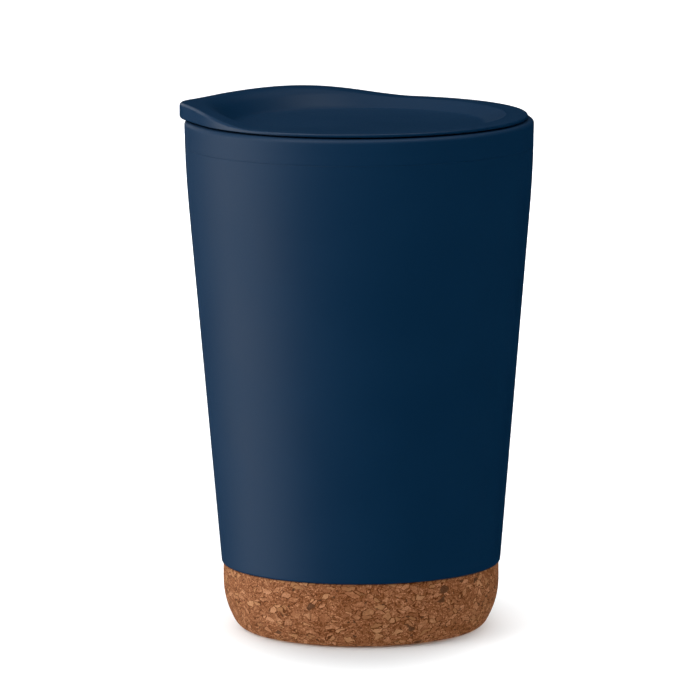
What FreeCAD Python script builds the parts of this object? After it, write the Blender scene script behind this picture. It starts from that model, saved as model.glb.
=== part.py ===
"""Double-walled travel cup on a cork base, with a push-in lid.

The origin is at the centre of the cork's underside, +Z is up, and the lid's thumb tab points
towards -X. Every piece but the lid cover is turned about the Z axis. The cover is turned too,
then gets a rounded tab, a wavy top edge and a dished middle.
"""
import FreeCAD, Part
import math
import os
import re

import Sketcher
from FreeCAD import Placement, Rotation, Vector

SIZES = [
    # alias, millimetres or degrees, what it is
    ("cork_radius", 33.6, "cork side, just under the shell"),
    ("cork_top", 16.2, "where the shell ends and the cork shows"),
    ("cork_bow_start", 12.0, "height at which the cork side starts to curve in"),
    ("cork_bow", 20.0, "radius of that long curve"),
    ("cork_turn_radius", 30.92, "end of the long curve, distance from the axis"),
    ("cork_turn_height", 2.0, "end of the long curve, height"),
    ("cork_foot_round", 4.0, "rounding between the long curve and the underside"),
    ("cork_foot_radius", 27.456, "edge of the flat underside"),
    ("spigot_radius", 32.2, "cork spigot that seats in the shell's skirt"),
    ("spigot_height", 3.0, "height of that spigot"),
    ("pad_radius", 31.0, "glued pad on top of the spigot"),
    ("pad_thick", 0.4, "thickness of that pad"),
    ("shell_foot_radius", 34.12, "outside of the shell at its lower edge"),
    ("shell_bend_radius", 41.52, "outside of the shell where the straight taper ends"),
    ("shell_bend_height", 103.4, "height of that point"),
    ("shell_bow", 276.0, "radius of the gentle curve above it"),
    ("seam_radius", 42.38, "outside of the shell at the seam under the rim"),
    ("seam_height", 118.6, "height of the seam"),
    ("shell_wall", 1.7, "wall of the shell"),
    ("shell_floor", 1.8, "floor of the shell"),
    ("edge_round", 0.4, "rounding of the shell's lower edge"),
    ("seam_bevel", 0.15, "bevel on both edges of the seam"),
    ("tongue_radius", 41.45, "outside of the shell's tongue, inside the rim skirt"),
    ("tongue_top", 122.2, "top of that tongue"),
    ("rim_radius", 42.5, "widest radius of the rim"),
    ("rim_top", 124.9, "top of the rim"),
    ("rim_round", 1.4, "outer rounding of the rim"),
    ("lip_round", 1.0, "inner rounding of the rim"),
    ("rim_skirt_inner", 41.5, "inside of the rim skirt"),
    ("rim_under", 122.3, "underside of the rim between its two walls"),
    ("mouth_radius", 38.4, "inside of the liner at the mouth"),
    ("mouth_foot", 118.0, "height at which the liner starts to taper"),
    ("liner_wall", 1.4, "wall of the liner"),
    ("liner_floor", 1.8, "floor of the liner"),
    ("liner_foot_radius", 30.0, "inside of the liner above its floor corner"),
    ("liner_corner", 6.0, "radius of the liner's inner floor corner"),
    ("drink_floor", 25.4, "height of the liner's floor"),
    ("flange_under", 125.35, "underside of the lid's flange"),
    ("flange_radius", 40.9, "edge of the flange"),
    ("blank_top", 130.0, "top of the lid's blank before the wave is cut"),
    ("wave_low", 126.2, "height of the low part of the lid's edge"),
    ("wave_high", 129.1, "height of the high part"),
    ("wave_from", 5.1, "start of the rise, along the wave's own direction"),
    ("wave_to", 33.8, "end of the rise"),
    ("wave_reach", 50.0, "half width of the cut above the wave"),
    ("wave_azimuth", 151.0, "direction of the high side, degrees from +X"),
    ("tab_turn", 26.1, "degrees from the high side to the tab"),
    ("tab_reach", 27.9, "centre of the tab's nose, distance from the axis"),
    ("tab_nose", 15.8, "radius of the tab's nose"),
    ("dish_radius", 35.7, "inner edge of the lid's rim"),
    ("dish_floor_radius", 30.4, "edge of the dish's floor"),
    ("dish_floor", 123.9, "height of the dish's floor"),
    ("cover_floor_wall", 2.0, "thickness under the dish's floor"),
    ("collar_radius", 37.5, "lid collar and plug, inside the mouth"),
    ("collar_under", 123.4, "underside of the collar, above the gasket"),
    ("seat_radius", 35.8, "seat that the gasket is stretched over"),
    ("skirt_inner", 33.5, "inside of the cover's skirt"),
    ("skirt_under", 119.9, "lower edge of the cover's skirt"),
    ("plug_under", 116.4, "underside of the plug"),
    ("plug_round", 1.2, "rounding of the plug's lower edge"),
    ("plug_floor", 1.8, "floor of the plug"),
    ("plug_hollow", 31.5, "hollow in the top of the plug"),
    ("plug_spigot_rise", 1.6, "how far the plug stands up inside the cover's skirt"),
    ("gasket_radius", 38.15, "edge of the gasket's two lips"),
    ("gasket_body", 37.4, "gasket between its lips"),
    ("gasket_slack", 0.1, "play of the gasket in its groove, above and below"),
    ("lip_thick", 0.7, "thickness of a gasket lip"),
    ("dish_round", 0.6, "rounding of the dish's upper edge"),
    ("flange_round", 0.5, "rounding of the flange's and the tab's upper edge"),
    ("fit", 0.05, "play between pieces that are pressed or welded together"),
]

# radius of the two equal arcs of the wave's S-curve
WAVE_BEND = "((wave_to - wave_from)^2 + (wave_high - wave_low)^2) / (4*(wave_high - wave_low))"

document = FreeCAD.newDocument("travel_cup")
sheet = document.addObject("Spreadsheet::Sheet", "sizes")


def fill_sheet():
    """Write one row per size: its note, its alias and its value."""
    for row, (alias, size, note) in enumerate(SIZES, start=1):
        sheet.set("A%d" % row, note)
        sheet.set("B%d" % row, str(size))
        sheet.setAlias("B%d" % row, alias)
    document.recompute()


def amount(formula):
    """The value of a formula over the sheet's aliases, such as 'rim_radius - 2*fit'."""
    return float(sheet.evalExpression(formula))


def bound(formula):
    """The same formula as another object's expression takes it, with each alias on the sheet."""
    return re.sub("[a-z_]+", lambda alias: "sizes." + alias.group(), formula)


def origin_plane(body, role):
    """One of the body's own origin planes, such as XZ_Plane."""
    for feature in body.Origin.OriginFeatures:
        if feature.Role == role:
            return feature
    raise ValueError("no origin plane " + role)


def new_body(name):
    """An empty body whose label names its file."""
    body = document.addObject("PartDesign::Body", name)
    body.Label = name
    return body


def new_sketch(body, name, role):
    """A sketch on one of the body's origin planes."""
    sketch = body.newObject("Sketcher::SketchObject", name)
    sketch.AttachmentSupport = (origin_plane(body, role), [""])
    sketch.MapMode = "FlatFace"
    return sketch


def arc_centre(start, end, radius, turn):
    """Centre of the arc from start to end: turn is 1 for counter-clockwise, -1 for clockwise."""
    chord = end - start
    rise = math.sqrt(radius ** 2 - (chord.Length / 2.0) ** 2)
    side = Vector(-chord.y, chord.x, 0) / chord.Length
    return (start + end) / 2.0 + side * rise * turn


def add_side(sketch, start, end, arc):
    """Add a line, or an arc given as (radius formula, turn). Returns its index and end numbers."""
    if arc is None:
        return sketch.addGeometry(Part.LineSegment(start, end), False), 1, 2
    radius, turn = arc
    centre = arc_centre(start, end, amount(radius), turn)
    circle = Part.Circle(centre, Vector(0, 0, 1), amount(radius))
    first, last = (start, end) if turn > 0 else (end, start)
    angles = [math.atan2(point.y - centre.y, point.x - centre.x) for point in (first, last)]
    side = sketch.addGeometry(Part.ArcOfCircle(circle, angles[0], angles[1]), False)
    number = sketch.addConstraint(Sketcher.Constraint("Radius", side, amount(radius)))
    sketch.setExpression("Constraints[%d]" % number, bound(radius))
    return (side, 1, 2) if turn > 0 else (side, 2, 1)


def pin_corner(sketch, side, end, corner):
    """Hold one end of a side at the corner's two formulas."""
    for kind, axis, formula in (("DistanceX", -2, corner[0]), ("DistanceY", -1, corner[1])):
        if amount(formula) == 0:
            sketch.addConstraint(Sketcher.Constraint("PointOnObject", side, end, axis))
            continue
        rule = Sketcher.Constraint(kind, -1, 1, side, end, amount(formula))
        number = sketch.addConstraint(rule)
        sketch.setExpression("Constraints[%d]" % number, bound(formula))


def draw_outline(sketch, outline):
    """Draw a closed outline, given as corners (across, up) with the arc that follows each."""
    corners = [entry[:2] for entry in outline]
    arcs = [entry[2] if len(entry) > 2 else None for entry in outline]
    points = [Vector(amount(across), amount(up), 0) for across, up in corners]
    sides = []
    for place, arc in enumerate(arcs):
        following = points[(place + 1) % len(points)]
        sides.append(add_side(sketch, points[place], following, arc))
    for place, (side, first, last) in enumerate(sides):
        next_side, next_first, next_last = sides[(place + 1) % len(sides)]
        joint = Sketcher.Constraint("Coincident", side, last, next_side, next_first)
        sketch.addConstraint(joint)
    for (side, first, last), corner in zip(sides, corners):
        pin_corner(sketch, side, first, corner)


def turned_body(name, outline):
    """A body turned about Z from an outline of (distance from the axis, height) corners."""
    body = new_body(name)
    sketch = new_sketch(body, name + "_outline", "XZ_Plane")
    draw_outline(sketch, outline)
    turning = body.newObject("PartDesign::Revolution", name + "_turned")
    turning.Profile = sketch
    turning.ReferenceAxis = (sketch, ["V_Axis"])
    turning.Angle = 360.0
    sketch.Visibility = False
    document.recompute()
    return body


def make_cork_base():
    """Cork foot: flat underside, bowed side, and a spigot that seats in the shell's skirt."""
    return turned_body("cork_base", [
        ("0", "0"),
        ("cork_foot_radius", "0", ("cork_foot_round", 1)),
        ("cork_turn_radius", "cork_turn_height", ("cork_bow", 1)),
        ("cork_radius", "cork_bow_start"),
        ("cork_radius", "cork_top - fit"),
        ("spigot_radius", "cork_top - fit"),
        ("spigot_radius", "cork_top + spigot_height"),
        ("0", "cork_top + spigot_height"),
    ])


def make_base_pad():
    """Thin glued disc between the cork's spigot and the shell's floor."""
    return turned_body("base_pad", [
        ("0", "cork_top + spigot_height"),
        ("pad_radius", "cork_top + spigot_height"),
        ("pad_radius", "cork_top + spigot_height + pad_thick"),
        ("0", "cork_top + spigot_height + pad_thick"),
    ])


def make_outer_shell():
    """Tapered outer cup: skirt round the cork, floor above it, tongue at the top."""
    floor_under = "cork_top + spigot_height + pad_thick"
    floor_top = floor_under + " + shell_floor"
    return turned_body("outer_shell", [
        ("0", floor_under),
        ("shell_foot_radius - shell_wall", floor_under),
        ("shell_foot_radius - shell_wall", "cork_top"),
        ("shell_foot_radius - edge_round", "cork_top", ("edge_round", 1)),
        ("shell_foot_radius", "cork_top + edge_round"),
        ("shell_bend_radius", "shell_bend_height", ("shell_bow", 1)),
        ("seam_radius", "seam_height - seam_bevel"),
        ("seam_radius - seam_bevel", "seam_height"),
        ("tongue_radius", "seam_height"),
        ("tongue_radius", "tongue_top"),
        ("seam_radius - shell_wall", "tongue_top"),
        ("seam_radius - shell_wall", "seam_height"),
        ("shell_bend_radius - shell_wall", "shell_bend_height"),
        ("shell_foot_radius - shell_wall + edge_round", floor_top),
        ("0", floor_top),
    ])


def make_inner_liner():
    """Drinking cup: floor, tapered wall, and a rim with a skirt over the shell's tongue."""
    outer_wall = "mouth_radius + liner_wall"
    return turned_body("inner_liner", [
        ("0", "drink_floor - liner_floor"),
        ("liner_foot_radius - liner_corner", "drink_floor - liner_floor",
         ("liner_corner + liner_wall", 1)),
        ("liner_foot_radius + liner_wall", "drink_floor + liner_corner"),
        (outer_wall, "mouth_foot"),
        (outer_wall, "rim_under"),
        ("rim_skirt_inner", "rim_under"),
        ("rim_skirt_inner", "seam_height + fit"),
        ("seam_radius - seam_bevel", "seam_height + fit"),
        ("seam_radius", "seam_height + fit + seam_bevel"),
        ("rim_radius", "rim_top - rim_round", ("rim_round", 1)),
        ("rim_radius - rim_round", "rim_top"),
        ("mouth_radius + lip_round", "rim_top", ("lip_round", 1)),
        ("mouth_radius", "rim_top - lip_round"),
        ("mouth_radius", "mouth_foot"),
        ("liner_foot_radius", "drink_floor + liner_corner", ("liner_corner", -1)),
        ("liner_foot_radius - liner_corner", "drink_floor"),
        ("0", "drink_floor"),
    ])


def make_lid_plug():
    """Closed underside of the lid: round plate with a spigot ring inside the cover's skirt."""
    spigot = "skirt_inner - fit"
    spigot_top = "skirt_under + plug_spigot_rise"
    return turned_body("lid_plug", [
        ("0", "plug_under"),
        ("collar_radius - plug_round", "plug_under", ("plug_round", 1)),
        ("collar_radius", "plug_under + plug_round"),
        ("collar_radius", "skirt_under"),
        (spigot, "skirt_under"),
        (spigot, spigot_top),
        ("plug_hollow", spigot_top),
        ("plug_hollow", "plug_under + plug_floor"),
        ("0", "plug_under + plug_floor"),
    ])


def make_lid_gasket():
    """Soft ring with two sealing lips, in the groove between the collar and the plug."""
    under = "skirt_under + gasket_slack"
    top = "collar_under - gasket_slack"
    return turned_body("lid_gasket", [
        ("seat_radius + fit", under),
        ("gasket_radius", under),
        ("gasket_radius", under + " + lip_thick"),
        ("gasket_body", under + " + lip_thick"),
        ("gasket_body", top + " - lip_thick"),
        ("gasket_radius", top + " - lip_thick"),
        ("gasket_radius", top),
        ("seat_radius + fit", top),
    ])


def add_tab(body):
    """Pad the thumb tab: a nose arc and two flanks tangent to the flange's circle."""
    base, reach, nose = amount("flange_radius"), amount("tab_reach"), amount("tab_nose")
    spread = math.acos((base - nose) / reach)
    normal = Vector(math.cos(spread), math.sin(spread), 0)
    mirrored = Vector(normal.x, -normal.y, 0)
    centre = Vector(reach, 0, 0)
    sketch = new_sketch(body, "tab_outline", "XY_Plane")
    circle = Part.Circle(centre, Vector(0, 0, 1), nose)
    arc = sketch.addGeometry(Part.ArcOfCircle(circle, -spread, spread), False)
    left = sketch.addGeometry(Part.LineSegment(centre + normal * nose, normal * base), False)
    chord = sketch.addGeometry(Part.LineSegment(normal * base, mirrored * base), False)
    right = sketch.addGeometry(Part.LineSegment(mirrored * base, centre + mirrored * nose), False)
    guide = sketch.addGeometry(Part.Circle(Vector(0, 0, 0), Vector(0, 0, 1), base), True)
    for rule in (("Tangent", arc, 2, left, 1), ("Coincident", left, 2, chord, 1),
                 ("Coincident", chord, 2, right, 1), ("Tangent", right, 2, arc, 1),
                 ("Coincident", guide, 3, -1, 1), ("PointOnObject", arc, 3, -1),
                 ("Tangent", left, 2, guide), ("Tangent", right, 1, guide)):
        sketch.addConstraint(Sketcher.Constraint(*rule))
    for rule, alias in ((("Radius", arc, nose), "tab_nose"),
                        (("Radius", guide, base), "flange_radius"),
                        (("DistanceX", -1, 1, arc, 3, reach), "tab_reach")):
        number = sketch.addConstraint(Sketcher.Constraint(*rule))
        sketch.setExpression("Constraints[%d]" % number, bound(alias))
    sketch.AttachmentOffset = Placement(Vector(0, 0, 0), Rotation(Vector(0, 0, 1), 1))
    sketch.setExpression("AttachmentOffset.Base.z", bound("flange_under"))
    sketch.setExpression("AttachmentOffset.Rotation.Angle", bound("tab_turn"))
    pad = body.newObject("PartDesign::Pad", "tab")
    pad.Profile = sketch
    pad.setExpression("Length", bound("blank_top - flange_under"))
    sketch.Visibility = False
    document.recompute()


def cut_wave(body):
    """Cut the lid's top along an S-curve: low on one side, high on the other."""
    half = "(wave_from + wave_to)/2"
    middle = "(wave_low + wave_high)/2"
    sketch = new_sketch(body, "wave_outline", "XZ_Plane")
    draw_outline(sketch, [
        ("-wave_reach", "wave_low"),
        ("wave_from", "wave_low", (WAVE_BEND, 1)),
        (half, middle, (WAVE_BEND, -1)),
        ("wave_to", "wave_high"),
        ("wave_reach", "wave_high"),
        ("wave_reach", "blank_top + 1"),
        ("-wave_reach", "blank_top + 1"),
    ])
    before = body.Shape.Volume
    pocket = body.newObject("PartDesign::Pocket", "wave")
    pocket.Profile = sketch
    pocket.Type = "ThroughAll"
    pocket.SideType = "Symmetric"
    sketch.Visibility = False
    document.recompute()
    if body.Shape.Volume >= before:
        raise ValueError("the wave cut nothing")


def wave_height(across):
    """Height of the wave's S-curve, two equal arcs, at a distance along its direction."""
    start, end = amount("wave_from"), amount("wave_to")
    low, high = amount("wave_low"), amount("wave_high")
    bend = amount(WAVE_BEND)
    if across <= start:
        return low
    if across >= end:
        return high
    if across <= (start + end) / 2.0:
        return low + bend - math.sqrt(bend ** 2 - (across - start) ** 2)
    return high - bend + math.sqrt(bend ** 2 - (end - across) ** 2)


def circle_wire(radius, height):
    """A level circle about the Z axis, starting on the +X side."""
    circle = Part.Circle(Vector(0, 0, height), Vector(0, 0, 1), radius)
    return Part.Wire(circle.toShape())


def dish_side_wire(reach, steps=72):
    """Closed curve on the dish's side: reach is 0 at its floor and 1 at its wavy upper edge."""
    floor_radius, floor_height = amount("dish_floor_radius"), amount("dish_floor")
    edge_radius = amount("dish_radius")
    radius = floor_radius + reach * (edge_radius - floor_radius)
    points = []
    for step in range(steps):
        angle = 2.0 * math.pi * step / steps
        rise = wave_height(edge_radius * math.cos(angle)) - floor_height
        height = floor_height + reach * rise
        points.append(Vector(radius * math.cos(angle), radius * math.sin(angle), height))
    curve = Part.BSplineCurve()
    curve.interpolate(points, PeriodicFlag=True)
    return Part.Wire(curve.toShape()), radius


def make_dish_tool():
    """Solid that hollows the dish: its side rises from a level floor, through the wavy edge."""
    past_the_edge = 1.3
    floor = circle_wire(amount("dish_floor_radius"), amount("dish_floor"))
    edge, edge_radius = dish_side_wire(past_the_edge)
    top = circle_wire(edge_radius, amount("blank_top + 2"))
    faces = [Part.Face(floor), Part.Face(top)]
    faces += Part.makeLoft([floor, edge], False, True).Faces
    faces += Part.makeLoft([edge, top], False, True).Faces
    shell = Part.makeShell(faces)
    shell.sewShape()
    solid = Part.makeSolid(shell)
    if solid.Volume < 0:
        solid.reverse()
    tool = document.addObject("Part::Feature", "dish_tool")
    tool.Shape = solid
    return tool


def edge_roundings(shape):
    """The cover's wavy upper edges, each as (number, radius, radius): the dish's and the outer."""
    roundings = []
    for number, edge in enumerate(shape.Edges, start=1):
        middle = edge.valueAt((edge.FirstParameter + edge.LastParameter) / 2.0)
        from_axis = math.hypot(middle.x, middle.y)
        if edge.BoundBox.ZMin < amount("wave_low - fit"):
            continue
        if from_axis > amount("flange_radius - fit"):
            roundings.append((number, amount("flange_round"), amount("flange_round")))
        elif abs(from_axis - amount("dish_radius")) < amount("fit"):
            roundings.append((number, amount("dish_round"), amount("dish_round")))
    return roundings


def make_lid_cover():
    """Cover of the lid: flange, collar, gasket seat and skirt, with tab, wave and dish."""
    body = turned_body("cover_blank", [
        ("0", "dish_floor - cover_floor_wall"),
        ("skirt_inner", "dish_floor - cover_floor_wall"),
        ("skirt_inner", "skirt_under"),
        ("seat_radius", "skirt_under"),
        ("seat_radius", "collar_under"),
        ("collar_radius", "collar_under"),
        ("collar_radius", "flange_under"),
        ("flange_radius", "flange_under"),
        ("flange_radius", "blank_top"),
        ("0", "blank_top"),
    ])
    add_tab(body)
    cut_wave(body)
    tool = make_dish_tool()
    for piece in (body, tool):
        piece.Placement = Placement(Vector(0, 0, 0), Rotation(Vector(0, 0, 1), 1))
        piece.setExpression("Placement.Rotation.Angle", bound("wave_azimuth"))
    cut = document.addObject("Part::Cut", "dished_cover")
    cut.Base = body
    cut.Tool = tool
    document.recompute()
    cover = document.addObject("Part::Fillet", "lid_cover")
    cover.Label = "lid_cover"
    cover.Base = cut
    cover.Edges = edge_roundings(cut.Shape)
    document.recompute()
    return cover


def check(pieces):
    """Stop if any object failed, or if a piece's shape is missing, broken or not one solid."""
    for item in document.Objects:
        if "Invalid" in item.State or "Error" in item.State:
            raise ValueError("%s failed: %s" % (item.Name, item.State))
    for piece in pieces:
        if piece.Shape.isNull() or not piece.Shape.isValid():
            raise ValueError(piece.Label + " has no valid shape")
        if len(piece.Shape.Solids) != 1:
            raise ValueError(piece.Label + " is not one solid")


def write(pieces):
    """Write each piece to its own STEP file."""
    os.makedirs("parts", exist_ok=True)
    for piece in pieces:
        piece.Shape.exportStep("parts/%s.step" % piece.Label)
        box = piece.Shape.BoundBox
        print("%-12s volume %8.1f mm3, height %6.2f to %6.2f, x %6.2f to %6.2f"
              % (piece.Label, piece.Shape.Volume, box.ZMin, box.ZMax, box.XMin, box.XMax))


fill_sheet()
cup_pieces = [make_cork_base(), make_base_pad(), make_outer_shell(), make_inner_liner()]
lid_pieces = [make_lid_cover(), make_lid_plug(), make_lid_gasket()]
document.recompute()
check(cup_pieces + lid_pieces)
write(cup_pieces + lid_pieces)
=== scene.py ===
"""Looks of the travel cup: soft matte navy plastic, a pressed cork foot and a plain studio.

Lengths are in metres, and a texture's scale is in features per millimetre. Turned pieces are
lathed from outlines of (radius, height, rounding) corners. The lid's cover has one outline per
direction, because its edge is wavy and it has a tab.
"""

import math

import bmesh
import bpy
from mathutils import Matrix, Vector, noise


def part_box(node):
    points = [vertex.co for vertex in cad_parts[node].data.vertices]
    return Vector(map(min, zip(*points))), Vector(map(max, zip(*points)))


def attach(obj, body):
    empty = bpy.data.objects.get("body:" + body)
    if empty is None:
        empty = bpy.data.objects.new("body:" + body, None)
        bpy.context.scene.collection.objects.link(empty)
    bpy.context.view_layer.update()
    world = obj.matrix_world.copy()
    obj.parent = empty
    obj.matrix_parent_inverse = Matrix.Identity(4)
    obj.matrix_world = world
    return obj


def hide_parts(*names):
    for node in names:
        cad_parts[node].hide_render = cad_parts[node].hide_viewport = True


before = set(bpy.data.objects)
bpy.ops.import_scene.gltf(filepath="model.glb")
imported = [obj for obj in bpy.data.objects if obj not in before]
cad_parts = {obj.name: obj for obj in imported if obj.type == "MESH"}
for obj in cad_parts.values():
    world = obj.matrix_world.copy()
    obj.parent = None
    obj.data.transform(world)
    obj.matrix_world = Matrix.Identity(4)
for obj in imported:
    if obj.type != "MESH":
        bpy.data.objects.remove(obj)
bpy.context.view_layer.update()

MM = 0.001
CORK_LOW, CORK_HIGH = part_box("cork_base")
PAD_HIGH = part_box("base_pad")[1]
SHELL_LOW, SHELL_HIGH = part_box("outer_shell")
LINER_LOW, LINER_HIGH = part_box("inner_liner")
COVER_LOW, COVER_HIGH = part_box("lid_cover")
PLUG_LOW, PLUG_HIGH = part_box("lid_plug")
SEAL_LOW, SEAL_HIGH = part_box("lid_gasket")

# Outer shell: radii at its foot and where its taper ends, then the seam under the rim
SHELL_FOOT = 34.12 * MM
SHELL_BEND = 41.52 * MM
BEND_HEIGHT = 103.4 * MM
SEAM_HEIGHT = 118.6 * MM
SEAM_RADIUS = SHELL_HIGH.x
SEAM_GAP = 0.05 * MM
SHELL_WALL = 1.7 * MM
SHELL_FLOOR = 1.8 * MM
SHELL_LEVELS = 30
TONGUE = 41.45 * MM

# Inner liner: rim with its skirt, mouth, wall and floor
RIM_RADIUS = LINER_HIGH.y
RIM_ROUND = 1.0 * MM
RIM_SKIRT = 41.5 * MM
RIM_UNDER = 122.3 * MM
MOUTH = 38.4 * MM
MOUTH_FOOT = 118.0 * MM
MOUTH_BEND = 5.0 * MM
LINER_WALL = 1.4 * MM
LINER_FLOOR = 1.8 * MM
LINER_FOOT = 30.0 * MM
LINER_CORNER = 6.0 * MM

# Cork foot: upright side, long curve, rounding at the underside, and the spigot in the shell
CORK_BOW_START = 12.0 * MM
CORK_BOW = 20.0 * MM
CORK_FOOT_ROUND = 4.0 * MM
SPIGOT = 32.2 * MM

# Cork's relief: how far its skin stands out, its lumps, grooves and pits, and its mesh's steps
CORK_PROUD = 0.12 * MM
LUMP_HEIGHT = 0.024 * MM
GROOVE_DEPTH = 0.040 * MM
PIT_DEPTH = 0.18 * MM
CORK_SEGMENTS = 900
CORK_STEP = 0.30 * MM
CORK_UNDER_STEP = 2.0 * MM
NOISE_SEED = 1

# Cork's look: flakes and grains per millimetre, colours from dark cracks to pale flakes, and the
# painted shade of its pits and grooves
FLAKES = 0.46
GRAINS = 1.35
CORK_TONES = (
    (0.00, (0.070, 0.018, 0.003)),
    (0.22, (0.142, 0.044, 0.012)),
    (0.50, (0.212, 0.079, 0.031)),
    (0.78, (0.308, 0.134, 0.062)),
    (1.00, (0.455, 0.222, 0.116)),
)
CORK_TAN = (0.400, 0.215, 0.095)
CORK_BARK = (0.050, 0.022, 0.010)
# Painted shade for the pits and grooves of the relief.
CORK_PIT_SHADE = (0.065, 0.024, 0.011)

# Plastic: two close navies and the roughness of the body and of the lid
NAVY = (0.0019, 0.0184, 0.0485)
NAVY_LIGHT = (0.0022, 0.0196, 0.0510)
BODY_ROUGHNESS = 0.56
LID_ROUGHNESS = 0.40

# Lid: flange with its thumb tab, wavy edge, dish, then the parts that go into the cup
FLANGE = COVER_HIGH.x + 0.1 * MM
FLANGE_UNDER = 125.3 * MM
FLANGE_ROUND = 0.8 * MM
TAB_TIP = 43.7 * MM
TAB_NOSE = 15.8 * MM
TAB_AZIMUTH = math.radians(177.1)
WAVE_AZIMUTH = math.radians(151.5)
WAVE_LOW = 126.12 * MM
WAVE_HIGH = 128.82 * MM
WAVE_FROM = 6.1 * MM
WAVE_TO = 38.2 * MM
WAVE_BOW = 0.98
DISH = 35.7 * MM
LIP_ROUND_LOW = 0.8 * MM
LIP_ROUND_HIGH = 7.5 * MM
DISH_FLOOR_RADIUS = 30.4 * MM
DISH_FLOOR = 123.9 * MM
DISH_FOOT_ROUND = 3.0 * MM
COVER_WALL = 2.0 * MM
COVER_DIRECTIONS = 720
COLLAR = PLUG_HIGH.x
COLLAR_UNDER = 123.4 * MM
SEAT = 35.8 * MM
SKIRT_INNER = 33.5 * MM
PLUG_PANEL = 31.0 * MM
PLUG_PANEL_DEPTH = 0.5 * MM
PLUG_FLOOR = 1.8 * MM

# Meshes: segments round the axis, steps in a rounded corner, and how far from the corner its
# support point is. Anything closer to the axis than ON_AXIS is taken to be on it.
BODY_SEGMENTS = 288
LID_SEGMENTS = 256
ROUND_STEPS = 6
SUPPORT = 0.3 * MM
ON_AXIS = 1e-7

# Floor: tone, radii of its rings, and its two glows as (from, to, strength at from, at to)
FLOOR_TONE = 0.65
FLOOR_RADII = (1.0, 9.0)
# The stretch squeezes the painted shadow at the sides of the cup.
GLOW_STRETCH = (2.0, 1.0, 1.0)
# The near glow is nothing at the cup and rises outwards: a painted shadow round the cup, over the
# real one.
PAINTED_SHADOW_GLOW = (0.030, 0.090, 0.0, 0.60)
FAR_GLOW = (0.10, 0.60, 0.0, 0.50)

# Softboxes as (name, azimuth, elevation, distance, size, power)
SOFTBOXES = (
    ("key", -85.0, 0.0, 1.3, (1.30, 1.2), 12.5),
    ("top", 0.0, 82.0, 1.2, (1.8, 0.7), 8.0),
    ("rim", -55.0, 42.0, 1.2, (0.7, 0.5), 5.5),
    ("back", -145.0, 20.0, 1.3, (0.8, 0.5), 1.4),
    ("far", 175.0, 55.0, 1.2, (1.0, 0.5), 0.45),
)

# Light tent: side of its cube, and panels as (name, azimuth, elevation, radiance)
TENT_SIDE = 2.0
TENT_PANELS = (
    ("front", 0.0, 0.0, 0.90),
    ("right", 90.0, 0.0, 0.85),
    ("back", 180.0, 0.0, 1.0),
    ("left", -90.0, 0.0, 0.8),
    ("above", 0.0, 90.0, 0.30),
    ("below", 0.0, -90.0, 0.8),
)

# Camera: place and aim, with the sensor and the focal length in millimetres as Blender has them
CAMERA_DISTANCE = 1.720
CAMERA_ELEVATION = math.radians(8.69)
CAMERA_ROLL = math.radians(-0.254)
CAMERA_AIM = Vector((-0.00247, 0.0, 0.06816))
SENSOR_WIDTH = 36.0
FOCAL_LENGTH = 362.3


# ---------------------------------------------------------------- meshes

def smoothstep(start, end, value):
    """0 up to the start, 1 past the end, and a smooth change between. The end may be lower."""
    share = min(max((value - start) / (end - start), 0.0), 1.0)
    return share * share * (3.0 - 2.0 * share)


def round_corner(before, corner, after, rounding, steps):
    """Points of the arc that rounds a corner of an outline, tangent to both its sides."""
    into = (before - corner).normalized()
    out = (after - corner).normalized()
    turn = math.pi - into.angle(out, 0.0)
    cut = rounding * math.tan(turn / 2.0)
    cut = min(cut, 0.48 * (before - corner).length, 0.48 * (after - corner).length)
    radius = cut / math.tan(turn / 2.0)
    middle = (into + out).normalized()
    centre = corner + middle * (radius / math.cos(turn / 2.0))
    first = corner + into * cut - centre
    second = corner + out * cut - centre
    points = []
    for step in range(steps + 1):
        share = step / steps
        weight_first = math.sin((1.0 - share) * turn) / math.sin(turn)
        weight_second = math.sin(share * turn) / math.sin(turn)
        points.append(centre + first * weight_first + second * weight_second)
    return points


def soften(corners, closed=False, steps=ROUND_STEPS, support=SUPPORT):
    """Round an outline's corners, and add a point at each side of an arc so flats shade flat."""
    spots = [Vector((radius, height)) for radius, height, rounding in corners]
    points = []
    for place, (spot, corner) in enumerate(zip(spots, corners)):
        rounding = corner[2]
        at_end = not closed and place in (0, len(spots) - 1)
        if at_end or rounding == 0.0:
            points.append(spot)
            continue
        before, after = spots[place - 1], spots[(place + 1) % len(spots)]
        arc = round_corner(before, spot, after, rounding, steps)
        ahead, behind = before - arc[0], after - arc[-1]
        points.append(arc[0] + ahead.normalized() * min(support, 0.2 * ahead.length))
        points += arc
        points.append(arc[-1] + behind.normalized() * min(support, 0.2 * behind.length))
    return points


def grid_object(name, rows, closed_rows=False):
    """Mesh from rows of points that go round the axis. A row of one point is a pole."""
    mesh = bpy.data.meshes.new(name)
    build = bmesh.new()
    made = [[build.verts.new(point) for point in row] for row in rows]
    count = max(len(row) for row in rows)
    pairs = list(zip(made[:-1], made[1:]))
    if closed_rows:
        pairs.append((made[-1], made[0]))
    for low, high in pairs:
        for place in range(count):
            after = (place + 1) % count
            if len(low) == 1:
                corners = (low[0], high[after], high[place])
            elif len(high) == 1:
                corners = (low[place], low[after], high[0])
            else:
                corners = (low[place], low[after], high[after], high[place])
            build.faces.new(corners).smooth = True
    build.to_mesh(mesh)
    build.free()
    piece = bpy.data.objects.new(name, mesh)
    bpy.context.scene.collection.objects.link(piece)
    return piece


def ring(radius, height, segments):
    """One level row of points round the axis, or a single point on it."""
    if radius < ON_AXIS:
        return [Vector((0.0, 0.0, height))]
    turns = [2.0 * math.pi * step / segments for step in range(segments)]
    return [Vector((radius * math.cos(a), radius * math.sin(a), height)) for a in turns]


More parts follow.
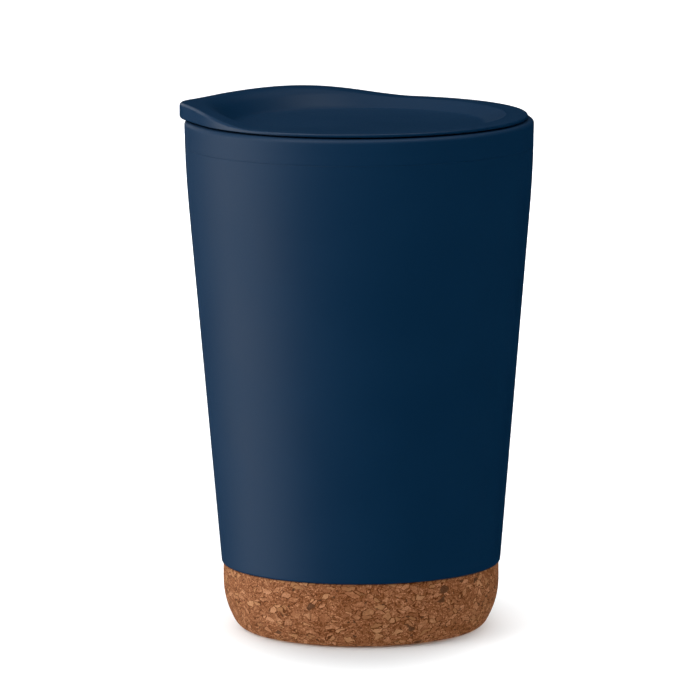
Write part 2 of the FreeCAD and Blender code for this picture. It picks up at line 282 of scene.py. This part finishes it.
def lathe(name, corners, segments, closed=False, steps=ROUND_STEPS):
    """A piece turned about the Z axis from an outline that keeps the solid on its left."""
    outline = soften(corners, closed, steps)
    rows = [ring(max(point.x, 0.0), point.y, segments) for point in outline]
    return grid_object(name, rows, closed_rows=closed)


# ---------------------------------------------------------------- materials

def new_material(name):
    """A node material with its shader, its tree and object coordinates in millimetres."""
    material = bpy.data.materials.new(name)
    material.use_nodes = True
    tree = material.node_tree
    shader = tree.nodes["Principled BSDF"]
    coordinates = tree.nodes.new("ShaderNodeTexCoord")
    scale = tree.nodes.new("ShaderNodeVectorMath")
    scale.operation = "SCALE"
    scale.inputs["Scale"].default_value = 1.0 / MM
    tree.links.new(coordinates.outputs["Object"], scale.inputs[0])
    return material, tree, shader, scale.outputs[0]


def add_noise(tree, place, scale, detail=3.0, roughness=0.5):
    """Noise of so many features per millimetre. Returns its value and its colour."""
    node = tree.nodes.new("ShaderNodeTexNoise")
    node.inputs["Scale"].default_value = scale
    node.inputs["Detail"].default_value = detail
    node.inputs["Roughness"].default_value = roughness
    tree.links.new(place, node.inputs["Vector"])
    return node.outputs["Fac"], node.outputs["Color"]


def add_cells(tree, place, scale, feature="F1"):
    """Voronoi cells of so many per millimetre. Returns their distance and, for F1, colour."""
    node = tree.nodes.new("ShaderNodeTexVoronoi")
    node.feature = feature
    node.inputs["Scale"].default_value = scale
    tree.links.new(place, node.inputs["Vector"])
    colour = node.outputs["Color"] if feature == "F1" else None
    return node.outputs["Distance"], colour


def add_math(tree, operation, first, second=0.0):
    """A math node on two values, each a socket or a number."""
    node = tree.nodes.new("ShaderNodeMath")
    node.operation = operation
    for slot, value in zip(node.inputs, (first, second)):
        if isinstance(value, (int, float)):
            slot.default_value = value
        else:
            tree.links.new(value, slot)
    return node.outputs[0]


def add_range(tree, value, low, high, to_low=0.0, to_high=1.0):
    """Map a value smoothly from one range to another."""
    node = tree.nodes.new("ShaderNodeMapRange")
    node.interpolation_type = "SMOOTHSTEP"
    tree.links.new(value, node.inputs["Value"])
    for name, number in (("From Min", low), ("From Max", high),
                         ("To Min", to_low), ("To Max", to_high)):
        node.inputs[name].default_value = number
    return node.outputs["Result"]


def add_mix(tree, share, first, second):
    """Mix two colours, each a socket or a linear RGB triple, by the share of the second."""
    node = tree.nodes.new("ShaderNodeMix")
    node.data_type = "RGBA"
    tree.links.new(share, node.inputs["Factor"])
    for slot, value in ((node.inputs[6], first), (node.inputs[7], second)):
        if isinstance(value, tuple):
            slot.default_value = (*value, 1.0)
        else:
            tree.links.new(value, slot)
    return node.outputs[2]


def add_ramp(tree, value, stops):
    """Colours along a value, from stops of (position, linear RGB triple)."""
    node = tree.nodes.new("ShaderNodeValToRGB")
    ramp = node.color_ramp
    while len(ramp.elements) < len(stops):
        ramp.elements.new(0.5)
    for element, (position, colour) in zip(ramp.elements, stops):
        element.position = position
        element.color = (*colour, 1.0)
    tree.links.new(value, node.inputs["Fac"])
    return node.outputs["Color"]


def add_stretch(tree, place, factors):
    """Coordinates multiplied by one factor per axis."""
    node = tree.nodes.new("ShaderNodeVectorMath")
    node.operation = "MULTIPLY"
    node.inputs[1].default_value = factors
    tree.links.new(place, node.inputs[0])
    return node.outputs[0]


def add_warp(tree, place, source, scale, amount):
    """Coordinates pushed about by noise of the source coordinates, by up to half the amount."""
    _, warp = add_noise(tree, source, scale, detail=2.0)
    centred = tree.nodes.new("ShaderNodeVectorMath")
    centred.operation = "SUBTRACT"
    centred.inputs[1].default_value = (0.5, 0.5, 0.5)
    tree.links.new(warp, centred.inputs[0])
    push = tree.nodes.new("ShaderNodeVectorMath")
    push.operation = "MULTIPLY_ADD"
    push.inputs[1].default_value = (amount, amount, amount)
    tree.links.new(centred.outputs[0], push.inputs[0])
    tree.links.new(place, push.inputs[2])
    return push.outputs[0]


def add_weighted(tree, start, terms):
    """Start plus the sum of weight * (value - centre) over terms of (value, centre, weight)."""
    total = start - sum(centre * weight for value, centre, weight in terms)
    for value, centre, weight in terms:
        total = add_math(tree, "ADD", add_math(tree, "MULTIPLY", value, weight), total)
    return total


def add_channel(tree, colour, channel):
    """One channel of a colour, as a random number per cell."""
    node = tree.nodes.new("ShaderNodeSeparateColor")
    tree.links.new(colour, node.inputs["Color"])
    return node.outputs[channel]


def add_bump(tree, shader, height, strength, depth):
    """Bump from a height, where a difference of 1 stands for so many metres of depth."""
    node = tree.nodes.new("ShaderNodeBump")
    node.inputs["Strength"].default_value = strength
    node.inputs["Distance"].default_value = depth
    tree.links.new(height, node.inputs["Height"])
    tree.links.new(node.outputs["Normal"], shader.inputs["Normal"])


def make_plastic(name, roughness):
    """Moulded plastic with a soft matte skin: fine grain, faint mottling, uneven sheen."""
    material, tree, shader, place = new_material(name)
    broad, _ = add_noise(tree, place, 0.06, detail=2.0)
    grain, _ = add_noise(tree, place, 3.2, detail=2.0, roughness=0.6)
    peel, _ = add_noise(tree, place, 0.35, detail=1.0)
    mottle = add_range(tree, broad, 0.3, 0.7)
    tree.links.new(add_mix(tree, mottle, NAVY, NAVY_LIGHT), shader.inputs["Base Color"])
    uneven = add_range(tree, grain, 0.3, 0.7, roughness - 0.03, roughness + 0.03)
    patch = add_range(tree, broad, 0.3, 0.7, -0.015, 0.015)
    tree.links.new(add_math(tree, "ADD", uneven, patch), shader.inputs["Roughness"])
    shader.inputs["Specular IOR Level"].default_value = 0.28
    height = add_math(tree, "ADD", grain, add_math(tree, "MULTIPLY", peel, 1.5))
    add_bump(tree, shader, height, 0.25, 0.006 * MM)
    return material


def make_cork():
    """Pressed cork: long curled flakes in a matrix of grains, with dark joints, bark, and painted
    shade in its pits and grooves.
    """
    material, tree, shader, straight = new_material("cork")
    bent = add_warp(tree, straight, straight, 0.20, 4.0)
    bent = add_warp(tree, bent, straight, 0.75, 0.8)
    bent = add_warp(tree, bent, straight, 2.4, 0.15)
    long_place = add_stretch(tree, bent, (1.0, 1.0, 1.8))

    flake_colour = add_cells(tree, long_place, FLAKES)[1]
    flake_edge = add_cells(tree, long_place, FLAKES, "DISTANCE_TO_EDGE")[0]
    grain_colour = add_cells(tree, long_place, GRAINS)[1]
    grain_edge = add_cells(tree, long_place, GRAINS, "DISTANCE_TO_EDGE")[0]
    strand, _ = add_noise(tree, add_stretch(tree, bent, (1.0, 1.0, 3.0)), 1.1, detail=2.0)
    fine, _ = add_noise(tree, straight, 2.9, detail=3.0, roughness=0.65)
    broad, _ = add_noise(tree, straight, 0.16, detail=2.0)

    is_flake = add_range(tree, add_channel(tree, flake_colour, "Red"), 0.52, 0.58)
    inside = add_math(tree, "MULTIPLY", is_flake, add_range(tree, flake_edge, 0.04, 0.09))
    joint = add_math(tree, "MULTIPLY", is_flake, add_range(tree, flake_edge, 0.02, 0.10, 1.0, 0.0))
    grain_joint = add_range(tree, grain_edge, 0.0, 0.14, 1.0, 0.0)
    hair = add_range(tree, add_math(tree, "ABSOLUTE", add_math(tree, "SUBTRACT", strand, 0.47)),
                     0.0, 0.02, 1.0, 0.0)
    matrix_tone = add_weighted(tree, 0.43, (
        (add_channel(tree, grain_colour, "Green"), 0.5, 0.50),
        (strand, 0.5, 0.50),
        (fine, 0.5, 2.2),
        (grain_joint, 0.3, -0.25),
        (hair, 0.1, -0.22),
    ))
    flake_tone = add_weighted(tree, 0.66, (
        (add_channel(tree, flake_colour, "Green"), 0.5, 0.42),
        (strand, 0.5, 0.60),
        (fine, 0.5, 1.1),
    ))
    mix = tree.nodes.new("ShaderNodeMix")
    for slot, value in (("Factor", inside), ("A", matrix_tone), ("B", flake_tone)):
        tree.links.new(value, mix.inputs[slot])
    tone = add_weighted(tree, 0.0, (
        (mix.outputs["Result"], 0.0, 1.0),
        (broad, 0.5, 0.35),
        (joint, 0.15, -0.42),
    ))
    colour = add_ramp(tree, tone, CORK_TONES)
    flake_draw = add_channel(tree, flake_colour, "Blue")
    tan = add_math(tree, "MULTIPLY", add_range(tree, flake_draw, 0.60, 0.85), 0.35)
    colour = add_mix(tree, add_math(tree, "MULTIPLY", tan, inside), colour, CORK_TAN)
    bark_grain = add_range(tree, add_channel(tree, grain_colour, "Blue"), 0.980, 0.985)
    bark_flake = add_range(tree, flake_draw, 0.012, 0.015, 1.0, 0.0)
    is_bark = add_math(tree, "MAXIMUM", bark_grain, bark_flake)
    colour = add_mix(tree, add_math(tree, "MULTIPLY", is_bark, 0.8), colour, CORK_BARK)
    # Painted shade: darker where the relief has pits and grooves.
    pit = tree.nodes.new("ShaderNodeAttribute")
    pit.attribute_name = "pit"
    pit_shade_share = add_math(tree, "MULTIPLY", pit.outputs["Fac"], 0.7)
    tree.links.new(add_mix(tree, pit_shade_share, colour, CORK_PIT_SHADE), shader.inputs["Base Color"])

    tree.links.new(add_range(tree, fine, 0.3, 0.7, 0.80, 0.93), shader.inputs["Roughness"])
    shader.inputs["Specular IOR Level"].default_value = 0.25
    relief = add_weighted(tree, 0.0, (
        (grain_joint, 0.0, -0.8),
        (joint, 0.0, -0.8),
        (fine, 0.5, 1.6),
        (strand, 0.5, 1.0),
    ))
    add_bump(tree, shader, relief, 0.5, 0.05 * MM)
    return material


def make_silicone():
    """Soft translucent silicone with a faint powdery skin."""
    material, tree, shader, place = new_material("silicone")
    haze, _ = add_noise(tree, place, 0.5, detail=3.0)
    tree.links.new(add_mix(tree, add_range(tree, haze, 0.3, 0.7),
                           (0.50, 0.52, 0.53), (0.60, 0.62, 0.63)), shader.inputs["Base Color"])
    tree.links.new(add_range(tree, haze, 0.3, 0.7, 0.34, 0.46), shader.inputs["Roughness"])
    shader.inputs["Subsurface Weight"].default_value = 0.3
    shader.inputs["Subsurface Scale"].default_value = 1.0 * MM
    add_bump(tree, shader, haze, 0.2, 0.01 * MM)
    return material


def make_foam():
    """Thin open foam of the glued pad, painted darker in the middle of each cell as shade in its
    pores.
    """
    material, tree, shader, place = new_material("foam")
    cell, _ = add_cells(tree, place, 2.5)
    # Painted shade: darker towards the middle of each cell, where the bump is lowest.
    tree.links.new(add_mix(tree, add_range(tree, cell, 0.1, 0.6),
                           (0.36, 0.33, 0.27), (0.62, 0.58, 0.50)), shader.inputs["Base Color"])
    tree.links.new(add_range(tree, cell, 0.1, 0.6, 0.8, 0.95), shader.inputs["Roughness"])
    add_bump(tree, shader, cell, 0.4, 0.05 * MM)
    return material


BODY_PLASTIC = make_plastic("body_plastic", BODY_ROUGHNESS)
LID_PLASTIC = make_plastic("lid_plastic", LID_ROUGHNESS)
CORK = make_cork()
SILICONE = make_silicone()
FOAM = make_foam()


def finish_piece(piece, material, body, node):
    """Give a piece its material and its body, and hide the CAD node that it stands for."""
    piece.data.materials.append(material)
    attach(piece, body)
    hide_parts(node)
    return piece


# ---------------------------------------------------------------- cup

def shell_radius(height):
    """Outside of the shell: a straight taper that turns gently upright above the bend."""
    slope = (SHELL_BEND - SHELL_FOOT) / (BEND_HEIGHT - SHELL_LOW.z)
    straight = SHELL_FOOT + slope * (height - SHELL_LOW.z)
    above = max(height - BEND_HEIGHT, 0.0)
    full = SEAM_HEIGHT - BEND_HEIGHT
    drop = SHELL_FOOT + slope * (SEAM_HEIGHT - SHELL_LOW.z) - SEAM_RADIUS
    return straight - drop * (above / full) ** 2


def make_shell():
    """Outer shell: skirt, tapered wall, seam edge, tongue, and the floor inside."""
    low = SHELL_LOW.z
    floor_under = PAD_HIGH.z
    floor_top = floor_under + SHELL_FLOOR
    inner_foot = SHELL_FOOT - SHELL_WALL
    corners = [
        (0.0, floor_under, 0.0),
        (inner_foot, floor_under, 0.3 * MM),
        (inner_foot, low, 0.3 * MM),
        (SHELL_FOOT - 0.02 * MM, low, 0.55 * MM),
    ]
    first, last = low + 1.5 * MM, SEAM_HEIGHT - 1.0 * MM
    for step in range(SHELL_LEVELS):
        height = first + (last - first) * step / (SHELL_LEVELS - 1)
        corners.append((shell_radius(height), height, 0.0))
    corners += [
        (SEAM_RADIUS, SEAM_HEIGHT + 0.5 * SEAM_GAP, 0.07 * MM),
        (TONGUE, SEAM_HEIGHT + 0.5 * SEAM_GAP, 0.1 * MM),
        (TONGUE, SHELL_HIGH.z, 0.1 * MM),
        (SEAM_RADIUS - SHELL_WALL, SHELL_HIGH.z, 0.1 * MM),
        (SEAM_RADIUS - SHELL_WALL, SEAM_HEIGHT, 0.0),
        (SHELL_BEND - SHELL_WALL, BEND_HEIGHT, 0.0),
        (inner_foot + 0.4 * MM, floor_top, 1.0 * MM),
        (0.0, floor_top, 0.0),
    ]
    piece = lathe("outer_shell_skin", corners, BODY_SEGMENTS)
    return finish_piece(piece, BODY_PLASTIC, "cup", "outer_shell")


def make_liner():
    """Inner liner: drinking cup, rim, and the rim's skirt down to the seam."""
    floor_top = LINER_LOW.z + LINER_FLOOR
    outer = MOUTH + LINER_WALL
    skirt_low = SEAM_HEIGHT + 0.55 * SEAM_GAP
    top = LINER_HIGH.z
    corners = [
        (0.0, LINER_LOW.z, 0.0),
        (LINER_FOOT + LINER_WALL, LINER_LOW.z, LINER_CORNER + LINER_WALL),
        (outer, MOUTH_FOOT, MOUTH_BEND),
        (outer, RIM_UNDER, 0.2 * MM),
        (RIM_SKIRT, RIM_UNDER, 0.2 * MM),
        (RIM_SKIRT, skirt_low, 0.1 * MM),
        (SEAM_RADIUS, skirt_low, 0.07 * MM),
        (0.5 * (SEAM_RADIUS + RIM_RADIUS), 0.5 * (skirt_low + top - RIM_ROUND), 0.0),
        (RIM_RADIUS, top, RIM_ROUND),
        (MOUTH, top, 1.0 * MM),
        (MOUTH, MOUTH_FOOT, MOUTH_BEND),
        (LINER_FOOT, floor_top, LINER_CORNER),
        (0.0, floor_top, 0.0),
    ]
    piece = lathe("inner_liner_skin", corners, BODY_SEGMENTS, steps=10)
    return finish_piece(piece, BODY_PLASTIC, "cup", "inner_liner")


def cork_relief(place):
    """How far the cork's surface stands out at a place, and how much painted shade its pits and
    grooves get there.
    """
    spot = place / MM
    warp = noise.noise_vector(spot * 0.8) * 0.6
    cells, _ = noise.voronoi((spot + warp) * 1.1)
    groove = 1.0 - smoothstep(0.0, 0.12, cells[1] - cells[0])
    broken = smoothstep(0.05, 0.30, noise.noise(spot * 0.45))
    lumps = noise.fractal(spot * 1.3, 0.9, 2.0, 3)
    holes, _ = noise.voronoi((spot + warp * 0.5) * 0.50 + Vector((7.0, 3.0, 5.0)))
    ragged = 0.14 + 0.10 * noise.noise(spot * 2.3)
    chosen = smoothstep(0.16, 0.26, noise.noise(spot * 0.33 + Vector((2.0, 9.0, 4.0))))
    pit = (1.0 - smoothstep(ragged * 0.5, ragged, holes[0])) * chosen
    height = LUMP_HEIGHT * lumps - GROOVE_DEPTH * groove * broken - PIT_DEPTH * pit
    return height, max(pit, 0.40 * groove * broken)


def arc_points(start, end, radius, steps):
    """Points on the arc that turns left from start to end."""
    chord = end - start
    rise = math.sqrt(radius ** 2 - (chord.length / 2.0) ** 2)
    side = Vector((-chord.y, chord.x)).normalized()
    centre = (start + end) / 2.0 + side * rise
    first = math.atan2(start.y - centre.y, start.x - centre.x)
    last = math.atan2(end.y - centre.y, end.x - centre.x)
    turns = [first + (last - first) * step / steps for step in range(steps + 1)]
    return [centre + Vector((math.cos(a), math.sin(a))) * radius for a in turns]


def even_points(points, spacing):
    """The same line with points no further apart than the spacing."""
    line = [points[0]]
    for start, end in zip(points[:-1], points[1:]):
        parts = max(1, math.ceil((end - start).length / spacing))
        line += [start.lerp(end, part / parts) for part in range(1, parts + 1)]
    return line


def make_cork_foot():
    """Cork foot: a dense turned skin whose granules, grooves and pits are real relief.

    The noise is seeded, so that every run gives the same cork.
    """
    low, side_top = CORK_LOW.z, SHELL_LOW.z - SEAM_GAP
    radius = CORK_HIGH.x
    bow_start = Vector((radius, CORK_BOW_START))
    bow_centre = bow_start - Vector((CORK_BOW, 0.0))
    reach, rise = CORK_BOW - CORK_FOOT_ROUND, CORK_BOW_START - low - CORK_FOOT_ROUND
    foot = Vector((bow_centre.x + math.sqrt(reach ** 2 - rise ** 2), low))
    foot_centre = foot + Vector((0.0, CORK_FOOT_ROUND))
    turn = bow_centre + (foot_centre - bow_centre).normalized() * CORK_BOW
    side = arc_points(foot, turn, CORK_FOOT_ROUND, 16)
    side += arc_points(turn, bow_start, CORK_BOW, 36)[1:]
    side.append(Vector((radius, side_top)))
    under = even_points([Vector((1.0 * MM, low)), foot], CORK_UNDER_STEP)
    shown = even_points(side, CORK_STEP)
    hidden = [Vector((SPIGOT, side_top)), Vector((SPIGOT, CORK_HIGH.z))]
    rows = [ring(0.0, low, 1)]
    rows += [ring(point.x, point.y, CORK_SEGMENTS) for point in under[:-1] + shown + hidden]
    rows.append(ring(0.0, CORK_HIGH.z, 1))
    piece = grid_object("cork_foot", rows)
    mesh = piece.data
    # Each point keeps the painted shade of the pits and grooves there.
    pit_shades = mesh.attributes.new("pit", "FLOAT", "POINT")
    noise.seed_set(NOISE_SEED)
    for vertex in mesh.vertices:
        place = vertex.co.copy()
        if place.z > side_top - 0.01 * MM:
            continue
        out = Vector((place.x, place.y, 0.0)).normalized()
        lean = smoothstep(CORK_BOW_START, low, place.z)
        normal = (out * (1.0 - lean) + Vector((0.0, 0.0, -1.0)) * lean).normalized()
        height, pit = cork_relief(place)
        on_floor = smoothstep(low + 0.3 * MM, low + 0.05 * MM, place.z)
        vertex.co = place + normal * (height + CORK_PROUD) * (1.0 - on_floor)
        pit_shades.data[vertex.index].value = pit
    return finish_piece(piece, CORK, "cup", "cork_base")


# ---------------------------------------------------------------- lid

def outline_radius(azimuth):
    """The cover's outline: a circle with a blunt thumb tab whose flanks are tangent to it."""
    reach = TAB_TIP - TAB_NOSE
    spread = math.acos((FLANGE - TAB_NOSE) / reach)
    away = abs((azimuth - TAB_AZIMUTH + math.pi) % (2.0 * math.pi) - math.pi)
    nose_end = math.atan2(TAB_NOSE * math.sin(spread), reach + TAB_NOSE * math.cos(spread))
    if away >= spread:
        return FLANGE
    if away >= nose_end:
        return FLANGE / math.cos(spread - away)
    across = reach * math.sin(away)
    return reach * math.cos(away) + math.sqrt(TAB_NOSE ** 2 - across ** 2)


def wave_height(radius, azimuth):
    """Height of the cover's wavy edge: low on one side, with a smooth rise to the other.

    The high side also bows up a little to the left and right of its middle.
    """
    along = radius * math.cos(azimuth - WAVE_AZIMUTH)
    across = radius * math.sin(azimuth - WAVE_AZIMUTH)
    rise = WAVE_HIGH + WAVE_BOW * across ** 2 - WAVE_LOW
    return WAVE_LOW + rise * smoothstep(WAVE_FROM, WAVE_TO, along)


def cover_section(azimuth):
    """The cover's outline in one direction, from its underside's centre to its top's."""
    under = DISH_FLOOR - COVER_WALL
    outer = outline_radius(azimuth)
    on_tab = (outer - FLANGE) / (TAB_TIP - FLANGE)
    lip = wave_height(DISH, azimuth)
    raised = (lip - WAVE_LOW) / (WAVE_HIGH - WAVE_LOW)
    lip_round = LIP_ROUND_LOW + (LIP_ROUND_HIGH - LIP_ROUND_LOW) * raised
    corners = [
        (0.0, under, 0.0),
        (SKIRT_INNER, under, 0.3 * MM),
        (SKIRT_INNER, COVER_LOW.z, 0.2 * MM),
        (SEAT, COVER_LOW.z, 0.2 * MM),
        (SEAT, COLLAR_UNDER, 0.15 * MM),
        (COLLAR, COLLAR_UNDER, 0.2 * MM),
        (COLLAR, FLANGE_UNDER, 0.3 * MM),
        (outer, FLANGE_UNDER, (0.22 + 0.45 * on_tab) * MM),
        (outer, wave_height(outer, azimuth), FLANGE_ROUND),
        (DISH, lip, lip_round),
        (DISH_FLOOR_RADIUS, DISH_FLOOR, DISH_FOOT_ROUND),
        (0.0, DISH_FLOOR, 0.0),
    ]
    return soften(corners, steps=8, support=0.12 * MM)


def make_cover():
    """Cover: one section per direction, joined into rows that go round the axis."""
    azimuths = [2.0 * math.pi * step / COVER_DIRECTIONS for step in range(COVER_DIRECTIONS)]
    sections = [cover_section(azimuth) for azimuth in azimuths]
    rows = []
    for points in zip(*sections):
        row = [Vector((point.x * math.cos(azimuth), point.x * math.sin(azimuth), point.y))
               for azimuth, point in zip(azimuths, points)]
        rows.append(row if points[0].x > ON_AXIS else row[:1])
    piece = grid_object("lid_cover_skin", rows)
    return finish_piece(piece, LID_PLASTIC, "lid", "lid_cover")


def make_plug():
    """Plug: closed underside of the lid, with a rounded edge and a shallow panel."""
    low, high = PLUG_LOW.z, PLUG_HIGH.z
    panel_top, floor_top = low + PLUG_PANEL_DEPTH, low + PLUG_FLOOR
    shoulder = COVER_LOW.z - 0.02 * MM
    ring_outer, ring_inner = SKIRT_INNER - 0.05 * MM, PLUG_PANEL + 0.5 * MM
    corners = [
        (0.0, panel_top, 0.0),
        (PLUG_PANEL - 1.0 * MM, panel_top, 0.6 * MM),
        (PLUG_PANEL, low, 0.4 * MM),
        (COLLAR, low, 1.2 * MM),
        (COLLAR, shoulder, 0.2 * MM),
        (ring_outer, shoulder, 0.1 * MM),
        (ring_outer, high, 0.3 * MM),
        (ring_inner, high, 0.3 * MM),
        (ring_inner, floor_top, 0.3 * MM),
        (0.0, floor_top, 0.0),
    ]
    piece = lathe("lid_plug_skin", corners, LID_SEGMENTS)
    return finish_piece(piece, LID_PLASTIC, "lid", "lid_plug")


def make_seal():
    """Gasket: a ring with two tapered lips."""
    low, high, edge = SEAL_LOW.z, SEAL_HIGH.z, SEAL_HIGH.x
    inner, waist = SEAT + 0.05 * MM, edge - 0.85 * MM
    middle = 0.5 * (low + high)
    corners = [
        (inner, low, 0.1 * MM),
        (waist, low, 0.1 * MM),
        (edge, low + 0.35 * MM, 0.12 * MM),
        (edge, low + 0.65 * MM, 0.12 * MM),
        (waist, low + 0.9 * MM, 0.2 * MM),
        (waist, middle + 0.3 * MM, 0.2 * MM),
        (edge, high - 0.65 * MM, 0.12 * MM),
        (edge, high - 0.35 * MM, 0.12 * MM),
        (waist, high, 0.1 * MM),
        (inner, high, 0.1 * MM),
    ]
    piece = lathe("lid_seal_skin", corners, LID_SEGMENTS, closed=True)
    return finish_piece(piece, SILICONE, "lid", "lid_gasket")


# ---------------------------------------------------------------- studio

def make_floor():
    """Pale floor, far wider than the view. Its glow fades out at the cup, so a painted shadow adds
    to the real one.
    """
    floor = grid_object("floor", [ring(radius, 0.0, 96) for radius in (0.0, *FLOOR_RADII)])
    for polygon in floor.data.polygons:
        polygon.use_smooth = False
    material = bpy.data.materials.new("floor")
    material.use_nodes = True
    tree = material.node_tree
    shader = tree.nodes["Principled BSDF"]
    shader.inputs["Base Color"].default_value = (FLOOR_TONE, FLOOR_TONE, FLOOR_TONE, 1.0)
    shader.inputs["Roughness"].default_value = 1.0
    shader.inputs["Specular IOR Level"].default_value = 0.0
    shader.inputs["Emission Color"].default_value = (1.0, 1.0, 1.0, 1.0)
    place = tree.nodes.new("ShaderNodeTexCoord").outputs["Object"]
    away = tree.nodes.new("ShaderNodeVectorMath")
    away.operation = "LENGTH"
    tree.links.new(add_stretch(tree, place, GLOW_STRETCH), away.inputs[0])
    # Painted shadow: no glow at the cup, rising outwards from it.
    painted_shadow_glow = add_range(tree, away.outputs["Value"], *PAINTED_SHADOW_GLOW)
    far = add_range(tree, away.outputs["Value"], *FAR_GLOW)
    tree.links.new(add_math(tree, "ADD", painted_shadow_glow, far), shader.inputs["Emission Strength"])
    floor.data.materials.append(material)
    floor.location.z = CORK_LOW.z - 0.02 * MM
    floor.visible_diffuse = floor.visible_glossy = floor.visible_shadow = False


def add_softbox(name, azimuth, elevation, distance, size, power, glossy=True):
    """Area light that faces the cup. Azimuth 0 is on the camera's side, and 90 is on its right.

    The light's angles are in degrees and its power is in watts. If it isn't glossy, it lights the
    cup but isn't mirrored in it.
    """
    light = bpy.data.lights.new(name, "AREA")
    light.shape = "RECTANGLE"
    light.size, light.size_y = size
    light.energy = power
    lamp = bpy.data.objects.new(name, light)
    bpy.context.scene.collection.objects.link(lamp)
    around, above = math.radians(azimuth), math.radians(elevation)
    away = Vector((math.sin(around) * math.cos(above), -math.cos(around) * math.cos(above),
                   math.sin(above)))
    middle = Vector((0.0, 0.0, 0.5 * COVER_HIGH.z))
    lamp.location = middle + away * distance
    lamp.rotation_mode = "QUATERNION"
    lamp.rotation_quaternion = (-away).to_track_quat("-Z", "Y")
    light.cycles.use_multiple_importance_sampling = glossy
    lamp.visible_glossy = glossy
    lamp.visible_camera = False


def make_light_tent():
    """Six square panels that enclose the cup, light it from all sides and leave no reflection."""
    size = (TENT_SIDE, TENT_SIDE)
    for name, azimuth, elevation, radiance in TENT_PANELS:
        power = radiance * math.pi * TENT_SIDE ** 2
        add_softbox(name, azimuth, elevation, TENT_SIDE / 2.0, size, power, glossy=False)


def make_world():
    """Plain white behind everything. It lights nothing."""
    world = bpy.data.worlds.new("studio")
    world.use_nodes = True
    world.node_tree.nodes["Background"].inputs["Color"].default_value = (1.0, 1.0, 1.0, 1.0)
    seen = world.cycles_visibility
    seen.diffuse = seen.glossy = seen.transmission = seen.scatter = False
    bpy.context.scene.world = world


def make_camera():
    """Camera in front of the cup, slightly above it."""
    back = Vector((0.0, -math.cos(CAMERA_ELEVATION), math.sin(CAMERA_ELEVATION)))
    right = Vector((1.0, 0.0, 0.0))
    up = back.cross(right)
    right_rolled = right * math.cos(CAMERA_ROLL) + up * math.sin(CAMERA_ROLL)
    up_rolled = up * math.cos(CAMERA_ROLL) - right * math.sin(CAMERA_ROLL)
    data = bpy.data.cameras.new("camera")
    data.sensor_width = SENSOR_WIDTH
    data.lens = FOCAL_LENGTH
    data.clip_start, data.clip_end = 0.05, 50.0
    camera = bpy.data.objects.new("camera", data)
    bpy.context.scene.collection.objects.link(camera)
    axes = Matrix((right_rolled, up_rolled, back)).transposed().to_4x4()
    camera.matrix_world = Matrix.Translation(CAMERA_AIM + back * CAMERA_DISTANCE) @ axes
    bpy.context.scene.camera = camera


make_shell()
make_liner()
make_cork_foot()
make_cover()
make_plug()
make_seal()
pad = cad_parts["base_pad"]
pad.data.materials.clear()
pad.data.materials.append(FOAM)

make_floor()
for softbox in SOFTBOXES:
    add_softbox(*softbox)
make_light_tent()
make_world()
make_camera()
bpy.context.scene.view_settings.view_transform = "Standard"
